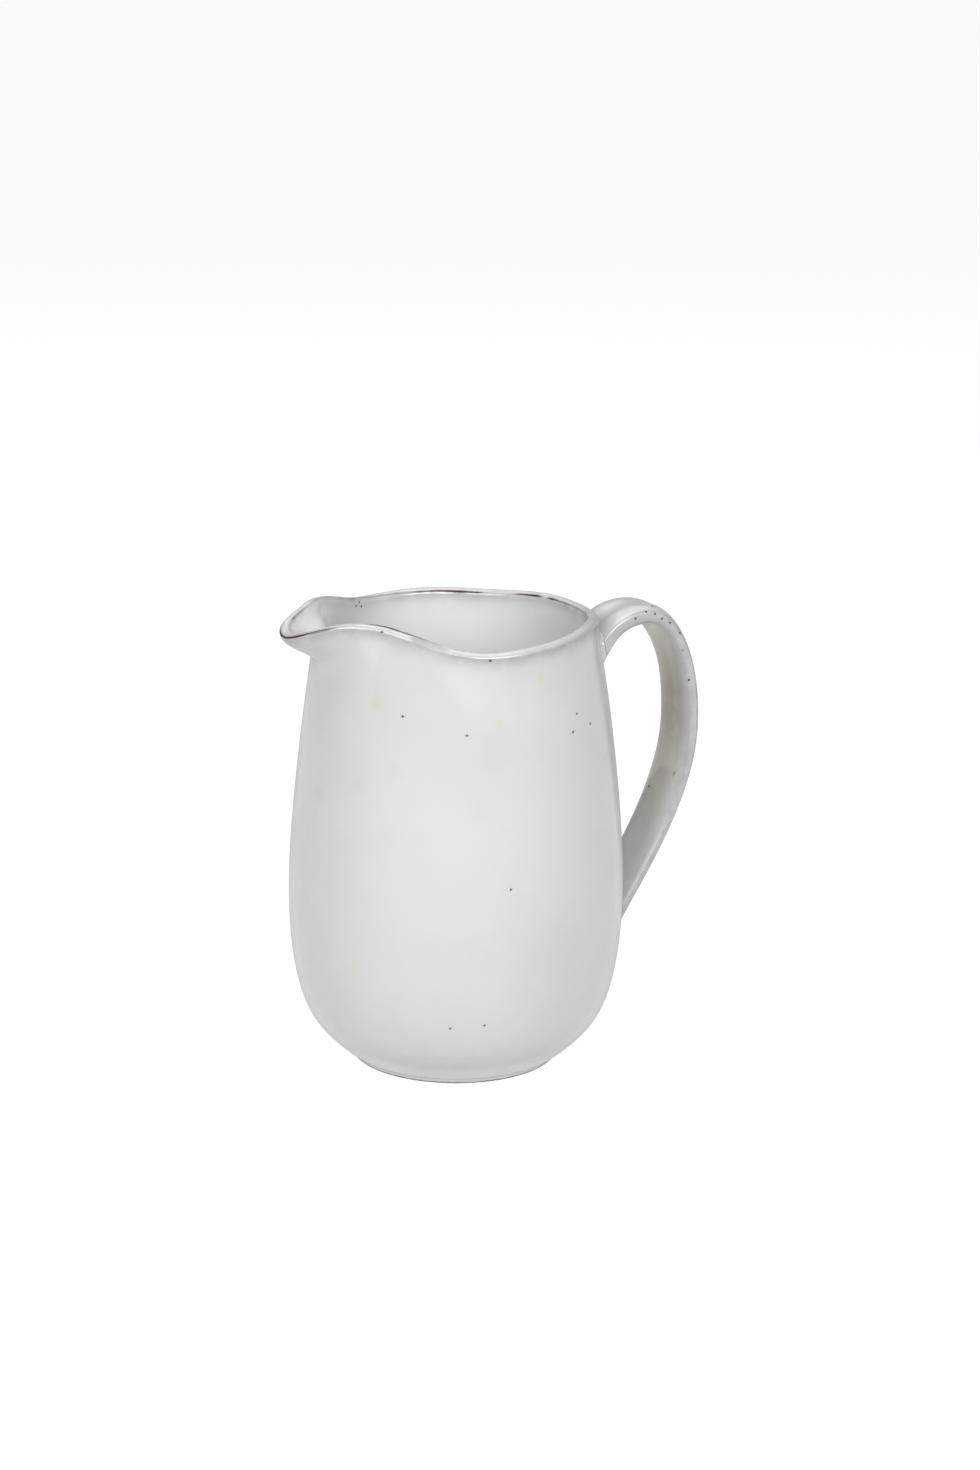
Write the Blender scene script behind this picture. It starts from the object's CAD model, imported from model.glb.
import math

import bpy
import numpy as np
from mathutils import Matrix, Vector


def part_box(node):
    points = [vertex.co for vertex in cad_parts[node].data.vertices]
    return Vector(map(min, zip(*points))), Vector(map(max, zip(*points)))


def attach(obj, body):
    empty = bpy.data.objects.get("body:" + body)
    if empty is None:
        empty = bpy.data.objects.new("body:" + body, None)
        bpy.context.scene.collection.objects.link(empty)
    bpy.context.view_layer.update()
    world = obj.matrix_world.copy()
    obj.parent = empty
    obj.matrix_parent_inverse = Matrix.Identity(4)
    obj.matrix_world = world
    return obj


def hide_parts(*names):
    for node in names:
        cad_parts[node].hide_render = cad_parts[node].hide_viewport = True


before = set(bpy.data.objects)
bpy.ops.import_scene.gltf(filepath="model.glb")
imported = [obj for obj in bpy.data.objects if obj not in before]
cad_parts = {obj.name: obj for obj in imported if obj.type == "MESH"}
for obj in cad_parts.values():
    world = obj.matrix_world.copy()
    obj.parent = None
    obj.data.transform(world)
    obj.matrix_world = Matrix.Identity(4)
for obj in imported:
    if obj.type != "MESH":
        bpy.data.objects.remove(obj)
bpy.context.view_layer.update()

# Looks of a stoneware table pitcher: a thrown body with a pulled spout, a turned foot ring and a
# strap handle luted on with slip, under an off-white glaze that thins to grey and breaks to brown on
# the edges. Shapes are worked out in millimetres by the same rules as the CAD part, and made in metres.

MM = 0.001

# ---- Driving dimensions, in mm ------------------------------------------------------------------

body_low, body_high = (np.array(corner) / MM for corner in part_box("body"))
foot_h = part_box("foot_ring")[1].z / MM

belly_r = 60.5  # widest radius of the body, at the belly
rim_z = 162  # height of the rim, at its average
wall_t = 4.5  # thickness of the wall, and of the half-round lip
floor_t = 6  # thickness of the floor
foot_r = 37.5  # outer radius of the edge that the pitcher stands on
foot_w = 6  # width of the foot ring
spout_reach = 18  # how far the lip of the spout is pulled out beyond the neck
spout_depth = 8.8  # depth below the lip at which about a third of the pull is left
channel_lift = 3.5  # how far the spout's channel lies above its underside, less the wall
handle_reach = 92  # how far the strap's centre line reaches from the axis of the body
groove_depth = 0.9  # depth of the groove in the outer face of the strap
bead_w = 3  # width of the slip bead round each end of the handle
lip_r = wall_t / 2

# ---- Curves -------------------------------------------------------------------------------------


def spline(points, u, slope=False):
    """A uniform cubic B-spline through the neighbourhood of its points, at each place in u."""
    points = np.asarray(points, float)
    u = np.atleast_1d(np.asarray(u, float))
    first = np.minimum(np.floor(u).astype(int), len(points) - 4)
    t = u - first
    if slope:
        weights = np.stack([-(1 - t) ** 2, 3 * t * t - 4 * t, 1 + 2 * t - 3 * t * t, t * t]) / 2
    else:
        weights = np.stack([(1 - t) ** 3, 3 * t**3 - 6 * t * t + 4, 1 + 3 * t * (1 + t - t * t), t**3]) / 6
    return sum(weights[k][:, None] * points[first + k] for k in range(4))


def open_ends(points):
    """The points with one more past each end, so that a spline starts and stops at the end points."""
    points = np.asarray(points, float)
    return np.vstack([2 * points[0] - points[1], points, 2 * points[-1] - points[-2]])


def unit(vectors):
    return vectors / np.linalg.norm(vectors, axis=-1, keepdims=True)


def bell(distance, width):
    return np.exp(-((distance / width) ** 2))


def plateau(distance, reach, falloff):
    return np.exp(-((distance / reach) ** falloff))


def rise(value, start, length):
    """0 up to the start, and then evenly up to 1 over the length."""
    return np.clip((value - start) / length, 0, 1)


def read(curve, places):
    """The value at each place of a curve that is given as rows of place and value."""
    return np.interp(places, *np.transpose(curve))


def graded(start, finish, spacings):
    """Places from start to finish. Each row of spacings is a place and the step from there on."""
    places = [start]
    while places[-1] < finish:
        places.append(places[-1] + [step for place, step in spacings if places[-1] >= place][-1])
    return np.array(places[:-1] + [finish])


def with_detail(base, places, reach):
    """The base places, with extra ones at each place that has a small detail, and beside it."""
    extra = [place + side * reach for place in places for side in (-1, 0, 1)]
    merged = np.unique(np.round(np.concatenate([base, extra]), 4))
    inside = (merged >= base[0]) & (merged <= base[-1])
    return merged[inside]


def spots(points, centres, radius):
    """1 at each centre, falling away to 0 beyond the radius around it."""
    total = np.zeros(points.shape[:-1])
    for centre in centres:
        total = np.maximum(total, bell(np.linalg.norm(points - centre, axis=-1), radius))
    return total


# ---- Meshes -------------------------------------------------------------------------------------


def make_mesh(name, node, points, faces, material, tints, sharp_from=180):
    """A smooth mesh object in metres, inside its CAD node's box, with one float attribute per tint.
    Edges that turn by more than sharp_from degrees are creases."""
    mesh = bpy.data.meshes.new(name)
    mesh.from_pydata(np.clip(points * MM, *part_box(node)).tolist(), [], faces)
    for tint, values in tints.items():
        layer = mesh.attributes.new(tint, "FLOAT", "POINT")
        layer.data.foreach_set("value", np.asarray(values, np.float32))
    mesh.polygons.foreach_set("use_smooth", [True] * len(mesh.polygons))
    mesh.set_sharp_from_angle(angle=math.radians(sharp_from))
    mesh.materials.append(material)
    mesh.validate()
    mesh.update()
    piece = bpy.data.objects.new(name, mesh)
    bpy.context.scene.collection.objects.link(piece)
    return piece


def ring_faces(rows, columns):
    """Quads between stacked closed rings, and a fan at each end round one more point."""
    k, i = np.meshgrid(np.arange(rows - 1), np.arange(columns), indexing="ij")
    a = k * columns + i
    b = k * columns + (i + 1) % columns
    quads = np.stack([a, b, b + columns, a + columns], -1).reshape(-1, 4).tolist()
    first, last = rows * columns, rows * columns + 1
    ring = range(columns)
    start = [[first, (j + 1) % columns, j] for j in ring]
    top = (rows - 1) * columns
    end = [[last, top + j, top + (j + 1) % columns] for j in ring]
    return quads + start + end


def make_stack(name, node, rings, material, tints, sharp_from=180):
    """A closed smooth solid through a stack of rings: an array of rows, columns and xyz."""
    rows, columns = rings.shape[:2]
    points = np.vstack([rings.reshape(-1, 3), rings[0].mean(0), rings[-1].mean(0)])
    full = {}
    for tint, grid in tints.items():
        full[tint] = np.concatenate([grid.reshape(-1), [grid[0].mean(), grid[-1].mean()]])
    return make_mesh(name, node, points, ring_faces(rows, columns), material, full, sharp_from)


# ---- Body shape ---------------------------------------------------------------------------------

# Outline of the wall from the foot ring to the rim: share of the height, share of belly_r
wall_line = [(0, 0.656), (0.035, 0.764), (0.08, 0.87), (0.145, 0.94), (0.24, 0.987), (0.37, 1.006),
             (0.53, 0.986), (0.69, 0.943), (0.85, 0.883), (0.945, 0.837), (1, 0.825)]
wall_top = rim_z - lip_r
outline = open_ends([(share_r * belly_r, foot_h + share_z * (wall_top - foot_h))
                     for share_z, share_r in wall_line])
top_u = len(wall_line) - 1

# The rim from the spout round to the handle: angle, pull as a share of spout_reach, lift
rim_line = [(0, 1, -1.2), (8, 0.92, 2), (16, 0.38, 5.6), (24, 0.22, 6.6), (32, -0.03, 6),
            (40, -0.08, 4.4), (50, -0.07, 2.6), (62, 0.05, -0.1), (75, 0.18, -1.5), (90, 0.19, -0.5),
            (110, 0.18, 0.5), (135, 0.05, 1.2), (160, -0.06, 1.6), (180, -0.04, 0.8)]
rim_last = len(rim_line) - 1
rim = [(-rim_line[1][0], *rim_line[1][1:]), *rim_line, (360 - rim_line[-2][0], *rim_line[-2][1:])]

# The rim is this much higher on the near side, and lower on the far side, round this angle
uneven_lift, uneven_angle, uneven_spread = 1.5, 128, 24
# Half angle of the spout, and how sharply the spout ends round the rim and down the wall
spout_angle, spout_falloff, throat_falloff = 34, 4, 2.5
# Depths below the rim over which the rest of the pull and the lift fade away
rim_depth, lift_depth = 16, 70

# Points on the underside as shares of the foot's radius, and on the floor as shares of its own
under_shares = (0.15, 0.4, 0.7, 0.95)
floor_shares = np.array([0.96, 0.9, 0.8, 0.66, 0.5, 0.34, 0.18, 0.06])
floor_power = 6
# How finely the curves are sampled
rim_samples, outer_samples, lip_samples, inner_samples = 2000, 1200, 65, 1000


def rim_at(angles):
    """Pull and lift of the rim at each angle from the spout; angles past 180 are the far side."""
    table = spline(rim, np.linspace(0, rim_last, rim_samples))
    side_angle = np.minimum(angles, 360 - angles)
    pull = np.interp(side_angle, table[:, 0], table[:, 1]) * spout_reach
    lift = np.interp(side_angle, table[:, 0], table[:, 2])
    near = np.where(angles <= 180, 1, -1)
    lift = lift + near * uneven_lift * bell(side_angle - uneven_angle, uneven_spread)
    near_spout = plateau(side_angle, spout_angle, spout_falloff)
    return pull, lift, near_spout


def body_points(section, angles):
    """Section points (radius, height, side) carried round the body; side is 0 outside, 1 inside."""
    pull, lift, near_spout = rim_at(angles)
    radius, height, side = (section[:, k][:, None] for k in range(3))
    depth = np.maximum(rim_z - height, 0)
    throat = np.maximum(depth + side * channel_lift * near_spout, 0)
    kept = near_spout * plateau(throat, spout_depth, throat_falloff)
    kept = kept + (1 - near_spout) * plateau(throat, rim_depth, 2)
    radius = radius + pull * kept
    lifted = np.where(depth < lift_depth, (1 + np.cos(np.pi * depth / lift_depth)) / 2, 0)
    a = np.radians(angles)
    return np.stack([-radius * np.cos(a), -radius * np.sin(a), height + lift * lifted], -1)


def wall_normal(u):
    slope = spline(outline, u, slope=True)
    return unit(np.stack([slope[:, 1], -slope[:, 0]], -1))


def inner_line(u):
    return spline(outline, u) - wall_t * wall_normal(u)


def body_section():
    """The wall's section from the middle of the underside, over the rim, to the middle of the floor.
    Each row is radius, height, side and the run: the distance along it from the crest of the lip."""
    under = [(outline[1][0] * share, foot_h) for share in under_shares]
    outer = spline(outline, np.linspace(0, top_u, outer_samples))
    turns = np.linspace(0, np.pi, lip_samples)[1:-1]
    top = spline(outline, top_u)[0] - (lip_r, 0)
    cap = np.stack([top[0] + lip_r * np.cos(turns), top[1] + lip_r * np.sin(turns)], -1)
    inner = inner_line(np.linspace(top_u, 1, inner_samples))
    floor_z = foot_h + floor_t
    corner_r, corner_z = inner[-1]
    floor = np.stack([corner_r * floor_shares,
                      floor_z + (corner_z - floor_z) * floor_shares**floor_power], -1)
    line = np.vstack([under, outer, cap, inner, floor])
    side = np.concatenate([np.zeros(len(under) + len(outer)), (1 - np.cos(turns)) / 2,
                           np.ones(len(inner) + len(floor))])
    run = np.concatenate([[0], np.cumsum(np.linalg.norm(np.diff(line, axis=0), axis=1))])
    crest = len(under) + len(outer) + len(turns) // 2
    return np.column_stack([line, side, run - run[crest]])


# ---- Handle shape -------------------------------------------------------------------------------

# Centre line of the strap: share of handle_reach, height, width, thickness, squareness
strap_line = [(0.548, 142.3, 23.5, 6.6, 4), (0.624, 156, 23.2, 7.4, 3.6), (0.793, 159.5, 22.8, 8, 2.6),
              (0.893, 153, 22.5, 8.4, 2.3), (0.975, 137.5, 22.5, 8.3, 2.2), (0.997, 115.5, 23, 7.9, 2.4),
              (0.972, 98.5, 23.5, 6.4, 2.6), (0.865, 73.7, 24, 4.9, 2.9), (0.641, 41.4, 24.3, 3.5, 3.4)]
strap = open_ends([(row[0] * handle_reach, *row[1:]) for row in strap_line])
strap_last = len(strap_line) - 1
# The groove in the outer face: its half width, where it has faded, and what is left of it there
groove_w = 4
groove_end, groove_far = 2.2, 0.35
# Thickness of the slip between the strap and the wall, and where along the strap its ends meet it
slip_t = 0.4
first_u, last_u = 0.5, strap_last - 0.4
strap_rings, bead_rings = 130, 13
# Steps that settle a ring on the wall, and the sizes of the smaller rings that close an end
landing_steps = 8
end_shares = (0.15, 0.5, 0.8)

# Marks on the strap: place along it, and the angle round it from its far edge over the outer face
strap_specks = [(1.51, 177), (1.84, 158), (2.1, 168), (2.37, 178), (2.69, 174), (3.13, 165), (4.18, 195),
                (6.43, 294), (2.12, 126), (5.2, 60)]
strap_brown = [(3.53, 188), (3.57, 158), (6.07, 236)]
# How far beside a mark the mesh has extra points: along the strap, and in degrees round it
mark_along, mark_turn = 0.03, 1.2
speck_turns = [turn for _, turn in strap_specks]
strap_turns = np.radians(with_detail(np.linspace(0, 360, 91), speck_turns, mark_turn)[:-1])


def rounded(v, square):
    return np.sign(v) * np.abs(v) ** (2 / square)


def strap_ring(u, turns=strap_turns):
    """One ring of the strap: its outline across the direction in which it runs."""
    x, z, width, thick, square = spline(strap, u)[0]
    slope = spline(strap, u, slope=True)[0]
    outward = unit(np.array([-slope[1], slope[0]]))
    across = width / 2 * rounded(np.cos(turns), square)
    depth = groove_depth * (groove_far + (1 - groove_far) * np.clip(groove_end - u, 0, 1))
    groove = np.where(np.sin(turns) > 0, depth * bell(across, groove_w), 0)
    out = thick / 2 * rounded(np.sin(turns), square) - groove
    return np.stack([x + out * outward[0], across, z + out * outward[1]], -1)


# The outer surface of the body at the handle, from the foot to the rim
wall_samples = 400
outer_wall = spline(outline, np.linspace(0, top_u, wall_samples))
wall_table = body_points(np.column_stack([outer_wall, np.zeros(wall_samples)]), np.array([180.0]))[:, 0]


def on_wall(points, gap):
    """The points moved along X to a gap from the body's outer surface at the handle."""
    radius = np.interp(points[:, 2], wall_table[:, 2], wall_table[:, 0]) + gap
    return np.column_stack([np.sqrt(radius**2 - points[:, 1] ** 2), points[:, 1], points[:, 2]])


def landed(u, gap):
    """The strap's ring at u, slid the way that the strap runs until each point reaches the wall."""
    slope = spline(strap, u, slope=True)[0]
    way = np.array([1, 0, slope[1] / slope[0]])
    ring = strap_ring(u)
    for _ in range(landing_steps):
        ring = ring + way * (on_wall(ring, gap)[:, :1] - ring[:, :1])
    return ring


def end_rings(ring, gap):
    """Smaller copies of a ring that lies on the wall, on the wall as well, smallest first."""
    middle = ring.mean(0)
    return [on_wall(middle + (ring - middle) * share, gap) for share in end_shares]


# ---- Materials ----------------------------------------------------------------------------------


class Nodes:
    """Short calls to add nodes to a material or the world, and to link them."""

    def __init__(self, tree):
        self.tree = tree

    def add(self, kind, inputs=None, **settings):
        node = self.tree.nodes.new(kind)
        for key, value in settings.items():
            setattr(node, key, value)
        for key, value in (inputs or {}).items():
            self.put(node.inputs[key], value)
        return node

    def put(self, socket, value):
        if isinstance(value, bpy.types.NodeSocket):
            self.tree.links.new(value, socket)
        else:
            socket.default_value = value

    def noise(self, scale, detail, rough):
        place = self.add("ShaderNodeTexCoord").outputs["Object"]
        settings = {"Vector": place, "Scale": scale, "Detail": detail, "Roughness": rough}
        return self.add("ShaderNodeTexNoise", settings).outputs["Fac"]

    def span(self, value, low, high, to_low=0.0, to_high=1.0):
        settings = {"Value": value, "From Min": low, "From Max": high,
                    "To Min": to_low, "To Max": to_high}
        return self.add("ShaderNodeMapRange", settings, interpolation_type="SMOOTHSTEP").outputs["Result"]

    def math(self, operation, a, b=0.0):
        node = self.add("ShaderNodeMath", operation=operation)
        self.put(node.inputs[0], a)
        self.put(node.inputs[1], b)
        return node.outputs["Value"]

    def mix(self, factor, a, b, blend="MIX"):
        node = self.add("ShaderNodeMix", data_type="RGBA", blend_type=blend)
        for socket, value in ((node.inputs[0], factor), (node.inputs[6], a), (node.inputs[7], b)):
            self.put(socket, value)
        return node.outputs[2]

    def tint(self, name):
        return self.add("ShaderNodeAttribute", attribute_name=name).outputs["Fac"]


def rgb(red, green, blue):
    return (red, green, blue, 1.0)


white_glaze = rgb(0.425, 0.425, 0.422)
lining_glaze = rgb(0.605, 0.605, 0.6)
grey_glaze = rgb(0.265, 0.265, 0.27)
tan_glaze = rgb(0.145, 0.09, 0.07)
brown_glaze = rgb(0.04, 0.017, 0.012)
speck_black = rgb(0.02, 0.02, 0.02)
clay_brown = rgb(0.11, 0.055, 0.035)
clay_light = rgb(0.20, 0.11, 0.08)
# What a cloud in the glaze and a warm patch leave of the colour under them
cloud_stain = rgb(0.90, 0.925, 0.91)
warm_stain = rgb(1.0, 0.945, 0.65)

# Patterns in the glaze and the clay: noise scale per metre, detail and roughness, and the span of the
# noise over which the pattern comes in
cloud_noise, cloud_span = (28, 4, 0.6), (0.4, 0.72)
thinness_noise, thinness_span = (160, 4, 0.6), (0.3, 0.7)
blotch_noise, blotch_span = (95, 3, 0.5), (0.66, 0.76)
clay_noise, clay_span = (900, 5, 0.7), (0.35, 0.65)
gloss_noise, gloss_span = (45, 3, 0.6), (0.35, 0.7)
ripple_noise = (70, 2, 0.4)
peel_noise = (700, 2, 0.5)
# The spans of their tints over which specks and bare clay come in, and how ragged bare clay's edge is
speck_span, bare_span, bare_ragged = (0.1, 0.7), (0.45, 0.55), 1.5

# How thin the glaze is from where to where, as it turns to the next colour
to_grey, to_tan, to_brown = (0.0, 0.5), (0.5, 0.72), (0.65, 0.9)
# How far the pattern changes the thinness, and how that grows from thick glaze to thin
thinness_change = 0.12
change_share = (0.1, 0.6, 0.15, 1)
cloud_strength, blotch_strength = 0.5, 0.22
# Roughness of the glaze from and to, and what a grazing view, bare clay and a dried patch add to it
gloss_least, gloss_most = 0.09, 0.18
grazing_power, grazing_rough = 5.0, 0.5
bare_rough, dry_rough = 0.6, 0.5
# Relief of the glaze: shares of the slow ripple and the fine orange peel, and its depth in metres
ripple_share, peel_share, relief_depth = 0.6, 0.05, 0.0006
relief_strength = 0.25
glaze_ior = 1.55


def glaze_colour(nodes, thin):
    """White glaze, or the lining's, that turns grey, tan and brown as it gets thinner."""
    colour = nodes.mix(nodes.tint("lining"), white_glaze, lining_glaze)
    colour = nodes.mix(nodes.span(thin, *to_grey), colour, grey_glaze)
    clouds = nodes.span(nodes.noise(*cloud_noise), *cloud_span)
    colour = nodes.mix(nodes.math("MULTIPLY", clouds, cloud_strength), colour, cloud_stain, "MULTIPLY")
    blotches = nodes.span(nodes.noise(*blotch_noise), *blotch_span)
    warm = nodes.math("ADD", nodes.math("MULTIPLY", blotches, blotch_strength), nodes.tint("warm"))
    colour = nodes.mix(warm, colour, warm_stain, "MULTIPLY")
    colour = nodes.mix(nodes.span(thin, *to_tan), colour, tan_glaze)
    colour = nodes.mix(nodes.span(thin, *to_brown), colour, brown_glaze)
    return nodes.mix(nodes.span(nodes.tint("speck"), *speck_span), colour, speck_black)


def roughness(nodes, bare):
    """Glossy, less so at a grazing view, and matt where the clay is bare or the glaze has dried."""
    gloss = nodes.span(nodes.noise(*gloss_noise), *gloss_span, gloss_least, gloss_most)
    facing = nodes.add("ShaderNodeLayerWeight", {"Blend": 0.5}).outputs["Facing"]
    grazing = nodes.math("POWER", facing, grazing_power)
    rough = nodes.math("ADD", gloss, nodes.math("MULTIPLY", grazing, grazing_rough))
    rough = nodes.math("ADD", rough, nodes.math("MULTIPLY", bare, bare_rough))
    return nodes.math("ADD", rough, nodes.math("MULTIPLY", nodes.tint("dry"), dry_rough))


def relief(nodes):
    """A slow ripple and a fine orange peel in the surface of the glaze."""
    ripple = nodes.math("MULTIPLY", nodes.noise(*ripple_noise), ripple_share)
    peel = nodes.math("MULTIPLY", nodes.noise(*peel_noise), peel_share)
    settings = {"Height": nodes.math("ADD", ripple, peel), "Strength": relief_strength,
                "Distance": relief_depth}
    return nodes.add("ShaderNodeBump", settings).outputs["Normal"]


def stoneware(name):
    """Glossy off-white glaze over brown clay. The tints on the mesh say where the glaze is thin, warm
    or dried matt, where it is the lining's, where an iron speck has burst through it and where the
    clay is bare. A mesh that lacks a tint has none of it."""
    material = bpy.data.materials.new(name)
    material.use_nodes = True
    nodes = Nodes(material.node_tree)
    shader = material.node_tree.nodes["Principled BSDF"]

    wander = nodes.span(nodes.noise(*thinness_noise), *thinness_span, -thinness_change, thinness_change)
    share = nodes.span(nodes.tint("thin"), *change_share)
    thin = nodes.math("ADD", nodes.tint("thin"), nodes.math("MULTIPLY", wander, share))
    bare = nodes.math("ADD", nodes.tint("bare"), nodes.math("MULTIPLY", wander, bare_ragged))
    bare = nodes.span(bare, *bare_span)
    clay = nodes.mix(nodes.span(nodes.noise(*clay_noise), *clay_span), clay_brown, clay_light)

    nodes.put(shader.inputs["Base Color"], nodes.mix(bare, glaze_colour(nodes, thin), clay))
    nodes.put(shader.inputs["Roughness"], roughness(nodes, bare))
    nodes.put(shader.inputs["Normal"], relief(nodes))
    shader.inputs["IOR"].default_value = glaze_ior
    return material


# ---- Body ---------------------------------------------------------------------------------------

# Marks on the wall: angle from the spout (past 180 is the far side), and the run along the wall from
# the crest of the lip, less than 0 outside and more than 0 inside
iron_specks = [(44, -27.7), (68, -30.3), (83, -85), (63, -136), (75, -135), (112, -34.4), (115, -28.9),
               (123, -34.1), (33, -2.9), (76.5, -3.5), (150, 3.2), (293, 4.5), (294.5, 2.8), (298, 4.2),
               (207, -58), (233, -92), (251, -31), (274, -110), (318, -74)]
iron_radius, pit_depth = 0.46, 0.15
yellow_spots = [(17, -145), (32.5, -26.6), (80, -26.5), (97, -13), (238, -70), (300, -40)]
yellow_radius, yellow_warm = 1.3, 0.6
grey_patches = [(8, -59), (28.5, -52), (41.5, -45), (73, -56), (215, -80), (290, -60)]
grey_radius, grey_thin = 4, 0.12

# Steps of the mesh, each from a place on: degrees round the body, and mm of run along the wall
angle_steps = [(0, 1), (28, 2), (332, 1)]
run_steps = [(-300, 2.4), (-22, 0.6), (-3.8, 0.25), (3.8, 0.9), (26, 3.5)]
# How far beside a mark the mesh has extra points, in degrees and in mm
mark_reach = 0.45
# Edges that turn by more than this many degrees are creases
body_crease, foot_crease = 32, 30

# Where the glaze breaks on the outer and the inner edge of the lip: angle from the spout, strength
outer_break = [(0, 1), (9, 1), (15, 0.95), (19, 0.4), (23, 0.1), (44, 0.05), (63, 0.05), (95, 0.2),
               (120, 0.3), (150, 0.1), (185, 0.1), (205, 0.4), (225, 0.2), (262, 0.65), (290, 0.35),
               (325, 0.3), (350, 0.25), (354, 0.9), (360, 1)]
inner_break = [(0, 0.35), (18, 0.3), (24, 0.45), (28, 0.85), (36, 1), (43, 0.9), (48, 0.65), (55, 0.5),
               (62, 0.15), (90, 0.15), (140, 0.3), (149, 0.75), (156, 0.5), (178, 0.55), (190, 0.7),
               (196, 0.9), (200, 0.25), (205, 0.9), (216, 0.85), (221, 0.2), (231, 0.2), (236, 0.75),
               (243, 1), (248, 0.95), (258, 0.75), (270, 0.65), (285, 0.6), (300, 0.55), (320, 0.3),
               (339, 0.55), (352, 0.65), (360, 0.35)]
# The run at which each edge lies, for the inner one at each angle, and half widths of faint lines
outer_edge_at = -2.2
inner_edge_at = [(0, 1), (20, 0.2), (28, -0.5), (60, -0.4), (90, 2.2), (265, 2.2), (290, 1), (360, 1)]
outer_width, inner_width = 0.33, 0.3
# Where the glaze on the lip has dried matt and grey: angle from the spout, strength
dry_lip = [(0, 0), (44.5, 0), (46, 1), (59, 1), (64, 0), (360, 0)]
dry_at, dry_width, dry_thin = -1.6, 2.8, 0.42
# Thin glaze on the lip, and strongest beyond each edge of it, from where it fades down the wall
haze_outside, lip_haze, haze_inside = 0.44, 0.22, 0.32
outer_haze_start, inner_haze_start = 3.4, 0.5
haze_width, haze_edge = 3.4, 0.6
# Grey shade of the wall over the foot: height, and how thin the glaze looks there
foot_haze = [(2.5, 0), (7, 0), (9.5, 0.17), (13, 0.14), (17, 0.09), (25, 0.03), (38, 0)]


def break_line(strength, from_edge, width):
    """A line of broken glaze along an edge, twice as wide at full strength as where it is faint."""
    return strength * bell(from_edge, width * (1 + strength))


def lip_tint(angles, run):
    """How thin the glaze is on the two edges of the lip, and in the hazy bands beyond them."""
    inner_at = read(inner_edge_at, angles)
    lines = np.maximum(break_line(read(outer_break, angles), run - outer_edge_at, outer_width),
                       break_line(read(inner_break, angles), run - inner_at, inner_width))
    beyond = np.where(run < 0, -run - outer_haze_start, run - inner_at - inner_haze_start)
    most = np.where(run < 0, haze_outside, haze_inside)
    down_wall = most * np.exp(-beyond / haze_width)
    on_lip = lip_haze + (most - lip_haze) * bell(beyond, haze_edge)
    return np.maximum(lines, np.where(beyond > 0, down_wall, on_lip))


def on_body(line, marks):
    """Points on the wall at each mark's angle and run."""
    points = []
    for angle, run in marks:
        row = [np.interp(run, line[:, 3], line[:, k]) for k in range(3)]
        points.append(body_points(np.array([row]), np.array([float(angle)]))[0, 0])
    return points


def body_tints(line, section, angles, rings):
    """The glaze on the body: see stoneware for what each tint does."""
    height, side, run = section[:, 1:2], section[:, 2:3], section[:, 3:4]
    over_foot = (1 - side) * read(foot_haze, height)
    dry = read(dry_lip, angles) * bell(run - dry_at, dry_width)
    thin = np.maximum(np.maximum(lip_tint(angles, run), over_foot), dry_thin * dry)
    thin = np.clip(thin + grey_thin * spots(rings, on_body(line, grey_patches), grey_radius), 0, 1)
    speck = spots(rings, on_body(line, iron_specks), iron_radius)
    warm = yellow_warm * spots(rings, on_body(line, yellow_spots), yellow_radius)
    lining = np.zeros(thin.shape) + side
    return {"thin": thin, "speck": speck, "warm": warm, "dry": dry, "lining": lining}


def body(material):
    line = body_section()
    marks = iron_specks + yellow_spots
    angles = with_detail(graded(0, 360, angle_steps), [angle for angle, _ in marks], mark_reach)[:-1]
    runs = with_detail(graded(line[0, 3], line[-1, 3], run_steps), [run for _, run in marks], mark_reach)
    section = np.stack([np.interp(runs, line[:, 3], line[:, k]) for k in range(4)], -1)
    rings = body_points(section[:, :3], angles)
    tints = body_tints(line, section, angles, rings)
    into_wall = 1 - 2 * section[:, 2:3]
    pits = pit_depth * tints["speck"] * into_wall
    rings = rings - unit(rings * (1, 1, 0)) * pits[..., None]
    return make_stack("glazed_body", "body", rings, material, tints, body_crease)


# ---- Foot ring ----------------------------------------------------------------------------------

foot_edge_r, foot_arc_points, foot_columns = 0.6, 7, 240
# The outer side is bare up to this height, and the glaze starts over this much more
bare_up_to, bare_fade = 0.4, 0.35


def foot_ring(material):
    """A ring of clay, closed round its own section: down its side, over its sole and up inside."""
    top_r = wall_line[0][1] * belly_r
    inner_r = foot_r - foot_w
    arc = np.radians(np.linspace(0, 90, foot_arc_points))
    side = [(top_r, foot_h), (top_r - 0.75, 1.95), (top_r - 1.5, 1.3)]
    across, down = foot_edge_r * (1 - np.cos(arc)), foot_edge_r * (1 - np.sin(arc))
    outer_edge = list(zip(foot_r - across, down))
    sole = [(foot_r - foot_w / 2, 0)]
    inner_edge = list(zip(inner_r + down, across))
    inside = [(inner_r - 0.5, 1.6), (inner_r - 1, foot_h)]
    section = np.array(side + outer_edge + sole + inner_edge + inside)
    angles = np.linspace(0, 2 * np.pi, foot_columns, endpoint=False)
    rings = np.stack([section[:, :1] * np.cos(angles), section[:, :1] * np.sin(angles),
                      np.repeat(section[:, 1:], len(angles), 1)], -1)
    bare = 1 - rise(rings[..., 2], bare_up_to, bare_fade)
    bare[len(side) + len(outer_edge):] = 1
    rows, columns = rings.shape[:2]
    k, i = np.meshgrid(np.arange(rows), np.arange(columns), indexing="ij")
    here, there = k * columns, (k + 1) % rows * columns
    beside = (i + 1) % columns
    quads = np.stack([here + i, there + i, there + beside, here + beside], -1).reshape(-1, 4).tolist()
    tints = {"bare": bare.reshape(-1)}
    points = rings.reshape(-1, 3)
    return make_mesh("turned_foot", "foot_ring", points, quads, material, tints, foot_crease)


# ---- Handle -------------------------------------------------------------------------------------

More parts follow.
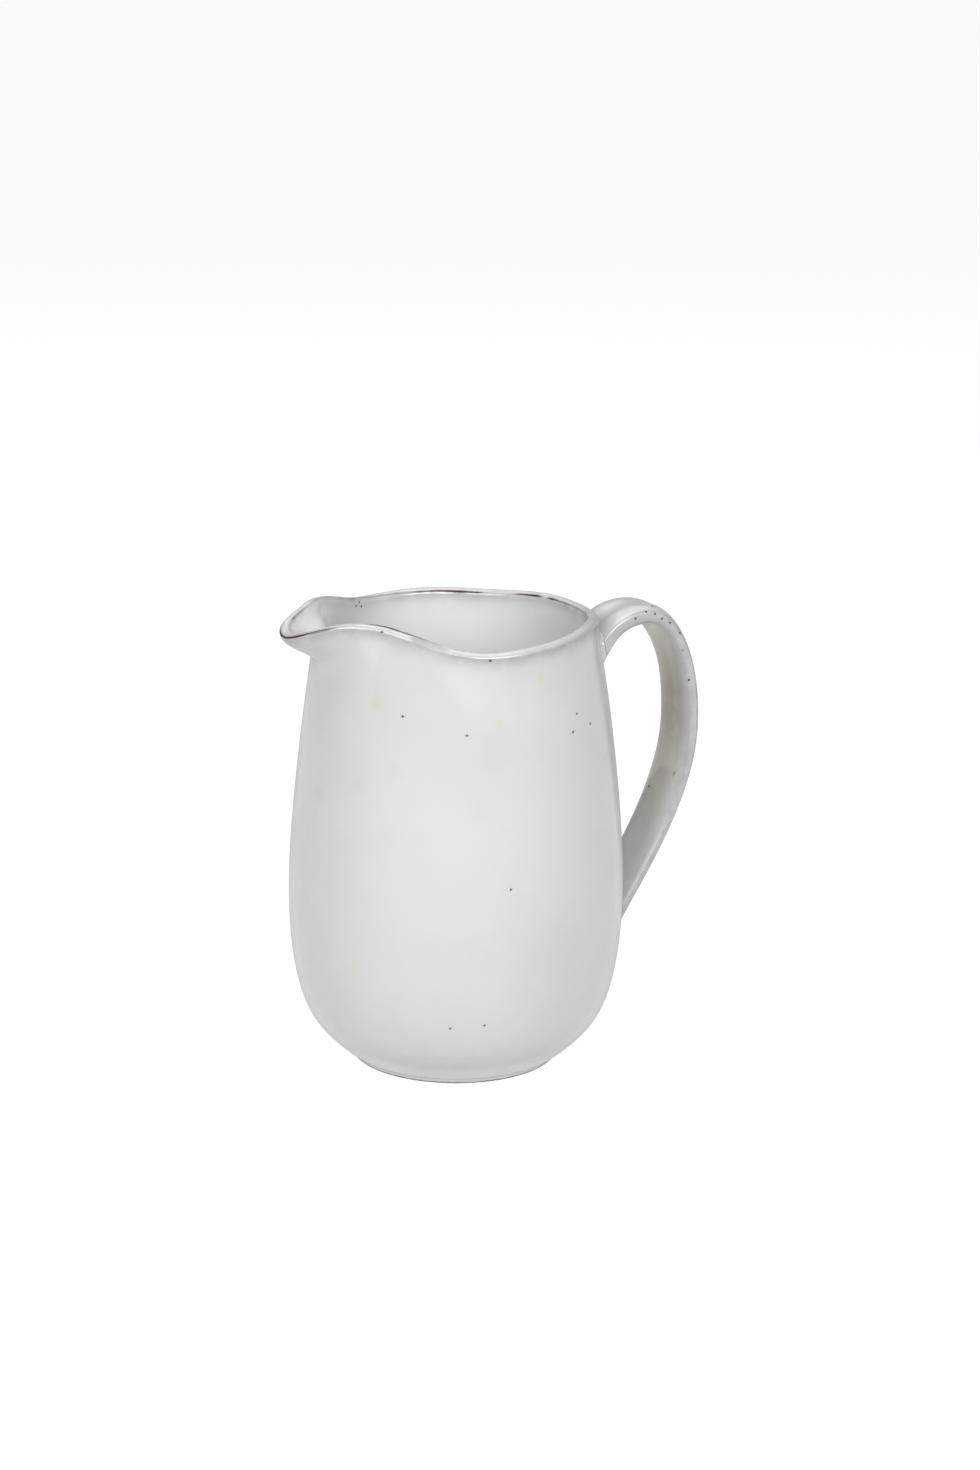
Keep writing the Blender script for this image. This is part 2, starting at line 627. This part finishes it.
# Glaze on the strap. Places are along it and turns are degrees round it, as in strap_specks.
strap_thin, slip_thin = 0.03, 0.1
# The crease at the upper root, as far as this place
crease_end, crease_turn, crease_spread, crease_thin = 1.5, 163, 10, 0.42
# The near outer edge, which lies further round past one place, and is thinner past another
edge_turn, edge_spread, edge_shift, shift_start = 157, 10, 7, 4
edge_thin, edge_more, more_start = 0.36, 0.2, 3
# The near side, most of all at the top bend, and less so from the root up to the first place
side_turn, side_spread, side_least = 192, 34, 0.3
side_thin, bend_place, bend_thin = 0.3, 1.8, 0.08
# The inner face, which starts this sharply, and away from the near side is thin all along it, most of
# all at the middle of the drop
inner_sharpness = 3
inner_start, inner_rise = 215, 50
inner_thin, drop_place, drop_thin = 0.12, 4.6, 0.22
# Where the inner face is warm, and where it has the paler lining glaze
warm_place, warm_spread, inner_warm = 4.3, 2, 0.9
pale_start, pale_rise = 4.9, 1.2
# The pale ridge down the near side at the lower root
ridge_turn, ridge_spread, ridge_start, ridge_rise = 208, 12, 6.6, 0.6
brown_radius, brown_thin = 0.9, 0.58


def on_strap(marks):
    return [strap_ring(u, np.radians([turn]))[0] for u, turn in marks]


def strap_thinness(along, turns, inner_face):
    """How thin the glaze is along the strap, before its brown marks and its ridge."""
    root = np.clip(crease_end - along, 0, 1)
    crease = crease_thin * root * bell(turns - crease_turn, crease_spread)
    edge_at = edge_turn + edge_shift * rise(along, shift_start, 1)
    edge = (1 - root) * (edge_thin + edge_more * rise(along, more_start, 1))
    edge = edge * bell(turns - edge_at, edge_spread)
    side = bell(turns - side_turn, side_spread) * (side_thin + bend_thin * bell(along - bend_place, 1))
    side = side * np.clip(along, side_least, 1)
    inner = inner_face * (inner_thin + drop_thin * bell(along - drop_place, 1))
    return np.maximum(np.maximum(strap_thin + inner + side, edge), crease)


def strap_tints(places, rings):
    """Thin glaze on the edges of the strap, a warm olive inner face and dark specks."""
    along, turns = places[:, None], np.degrees(strap_turns)
    underneath = np.clip(-np.sin(strap_turns) * inner_sharpness, 0, 1)
    inner_face = underneath * rise(turns, inner_start, inner_rise)
    ridge = bell(turns - ridge_turn, ridge_spread) * rise(along, ridge_start, ridge_rise)
    thin = strap_thinness(along, turns, inner_face) * (1 - ridge)
    thin = np.maximum(thin, brown_thin * spots(rings, on_strap(strap_brown), brown_radius))
    speck = spots(rings, on_strap(strap_specks), iron_radius)
    warm = inner_warm * inner_face * bell(along - warm_place, warm_spread)
    lining = np.maximum(underneath * rise(along, pale_start, pale_rise), ridge)
    return {"thin": thin, "speck": speck, "warm": warm, "lining": lining}


def handle(material):
    speck_places = [u for u, _ in strap_specks]
    places = with_detail(np.linspace(first_u, last_u, strap_rings), speck_places, mark_along)
    start, finish = landed(first_u, slip_t), landed(last_u, slip_t)
    middle = [strap_ring(u) for u in places[1:-1]]
    first, last = end_rings(start, slip_t), end_rings(finish, slip_t)[::-1]
    places = np.concatenate([[first_u] * len(first), places, [last_u] * len(last)])
    rings = np.stack(first + [start] + middle + [finish] + last)
    return make_stack("strap_handle", "handle", rings, material, strap_tints(places, rings))


def luting(name, node, u, material):
    """Slip between the strap and the wall, smoothed into a hollow fillet all round."""
    sense = np.sign(spline(strap, u, slope=True)[0][0])
    root = landed(u, slip_t)
    strap_edge = landed(u, slip_t + bead_w)
    tangent = np.roll(root, -1, 0) - np.roll(root, 1, 0)
    away = unit(np.stack([np.zeros(len(root)), tangent[:, 2], -tangent[:, 1]], -1))
    wall_edge = on_wall(root + sense * bead_w * away, 0)
    bead = []
    for a in np.radians(np.linspace(0, 90, bead_rings)):
        up, out = 1 - math.sin(a), 1 - math.cos(a)
        bead.append(root + up * (strap_edge - root) + out * (wall_edge - root))
    back = landed(u, 0)
    rings = np.stack(end_rings(root, slip_t) + [root] + bead + [back] + end_rings(back, 0)[::-1])
    if sense > 0:
        rings = rings[::-1]
    return make_stack(name, node, rings, material, {"thin": np.full(rings.shape[:2], slip_thin)})


# ---- Studio -------------------------------------------------------------------------------------

# The camera: degrees round to the spout's side, metres away and up, and how it is turned, in degrees
view_azimuth = 25.47
view_distance = 1.1077
view_height = 0.4175
view_yaw, view_pitch, view_roll = 0.606, 15.095, 0.698
view_lens = 78.5


def camera():
    """The camera stands view_azimuth to the spout's side of the front, and looks slightly down."""
    azimuth, yaw, pitch, roll = np.radians([view_azimuth, view_yaw, view_pitch, view_roll])
    across = Vector((math.cos(azimuth), -math.sin(azimuth), 0))
    ahead = Vector((math.sin(azimuth), math.cos(azimuth), 0))
    level = math.sin(yaw) * across + math.cos(yaw) * ahead
    forward = math.cos(pitch) * level - math.sin(pitch) * Vector((0, 0, 1))
    right = math.cos(yaw) * across - math.sin(yaw) * ahead
    up = math.sin(pitch) * level + math.cos(pitch) * Vector((0, 0, 1))
    tilted_right = math.cos(roll) * right + math.sin(roll) * up
    tilted_up = math.cos(roll) * up - math.sin(roll) * right
    data = bpy.data.cameras.new("camera")
    data.lens = view_lens
    data.sensor_width = 36
    data.clip_end = 100
    eye = bpy.data.objects.new("camera", data)
    turn = Matrix((tilted_right, tilted_up, -forward)).transposed()
    place = -view_distance * ahead + Vector((0, 0, view_height))
    eye.matrix_world = Matrix.Translation(place) @ turn.to_4x4()
    bpy.context.scene.collection.objects.link(eye)
    bpy.context.scene.camera = eye


def floor():
    """A plain pale floor that glows, so that it renders white."""
    material = bpy.data.materials.new("floor")
    material.use_nodes = True
    shader = material.node_tree.nodes["Principled BSDF"]
    shader.inputs["Base Color"].default_value = rgb(0.2, 0.2, 0.2)
    shader.inputs["Emission Color"].default_value = rgb(1, 1, 1)
    shader.inputs["Emission Strength"].default_value = 0.86
    shader.inputs["Roughness"].default_value = 0.9
    shader.inputs["Specular IOR Level"].default_value = 0.2
    reach = 60
    edge_points = [(-reach, -reach, 0), (reach, -reach, 0), (reach, reach, 0), (-reach, reach, 0)]
    mesh = bpy.data.meshes.new("floor")
    mesh.from_pydata(edge_points, [], [(0, 1, 2, 3)])
    mesh.materials.append(material)
    plane = bpy.data.objects.new("floor", mesh)
    bpy.context.scene.collection.objects.link(plane)


# Soft light from all round: azimuth from the camera's side, elevation, strength, tightness
sky_glow = 0.12
sky_lobes = [(0, 90, 0.6, 3), (180, 30, 0.15, 4)]
# Soft boxes: name, azimuth from the camera's side, elevation, distance, width, height, watts
soft_boxes = [("key_light", -37, 28, 1.8, 1.25, 0.75, 19.5), ("fill_light", 21, 28, 1.8, 1.4, 0.75, 27.5),
              ("top_light", 0, 88, 1.5, 1.0, 1.0, 8.5), ("back_light", 180, 50, 1.8, 1.2, 0.8, 2.5)]


def direction_to(azimuth, elevation):
    """The way to a light, from its azimuth from the camera's side and its elevation."""
    turn = math.radians(-90 - view_azimuth + azimuth)
    up = math.radians(elevation)
    return Vector((math.cos(up) * math.cos(turn), math.cos(up) * math.sin(turn), math.sin(up)))


def sky():
    world = bpy.data.worlds.new("studio")
    bpy.context.scene.world = world
    world.use_nodes = True
    nodes = Nodes(world.node_tree)
    direction = nodes.add("ShaderNodeTexCoord").outputs["Generated"]
    total = sky_glow
    for azimuth, elevation, strength, tight in sky_lobes:
        aim = direction_to(azimuth, elevation)
        facing = nodes.add("ShaderNodeVectorMath", {0: direction, 1: aim}, operation="DOT_PRODUCT")
        lobe = nodes.math("POWER", nodes.math("MAXIMUM", facing.outputs["Value"], 0.0), tight)
        total = nodes.math("ADD", total, nodes.math("MULTIPLY", lobe, strength))
    background = world.node_tree.nodes["Background"]
    nodes.put(background.inputs["Strength"], total)
    background.inputs["Color"].default_value = rgb(1, 1, 1)


def soft_box(name, azimuth, elevation, distance, width, height, power):
    """A rectangular soft light that faces the middle of the pitcher."""
    data = bpy.data.lights.new(name, "AREA")
    data.shape = "RECTANGLE"
    data.size = width
    data.size_y = height
    data.energy = power
    light = bpy.data.objects.new(name, data)
    way = direction_to(azimuth, elevation)
    target = Vector((0, 0, (body_low[2] + body_high[2]) / 2 * MM))
    light.location = target + distance * way
    light.rotation_euler = (-way).to_track_quat("-Z", "Y").to_euler()
    bpy.context.scene.collection.objects.link(light)


def studio():
    camera()
    floor()
    sky()
    for settings in soft_boxes:
        soft_box(*settings)
    bpy.context.scene.view_settings.view_transform = "Standard"


# ---- Assembly -----------------------------------------------------------------------------------


def fit(piece, node):
    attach(piece, "root")
    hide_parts(node)


def pitcher():
    glaze = stoneware("glaze")
    clay = stoneware("bare_clay")
    fit(body(glaze), "body")
    fit(foot_ring(clay), "foot_ring")
    fit(handle(glaze), "handle")
    fit(luting("upper_slip", "upper_luting", first_u, glaze), "upper_luting")
    fit(luting("lower_slip", "lower_luting", last_u, glaze), "lower_luting")


studio()
pitcher()
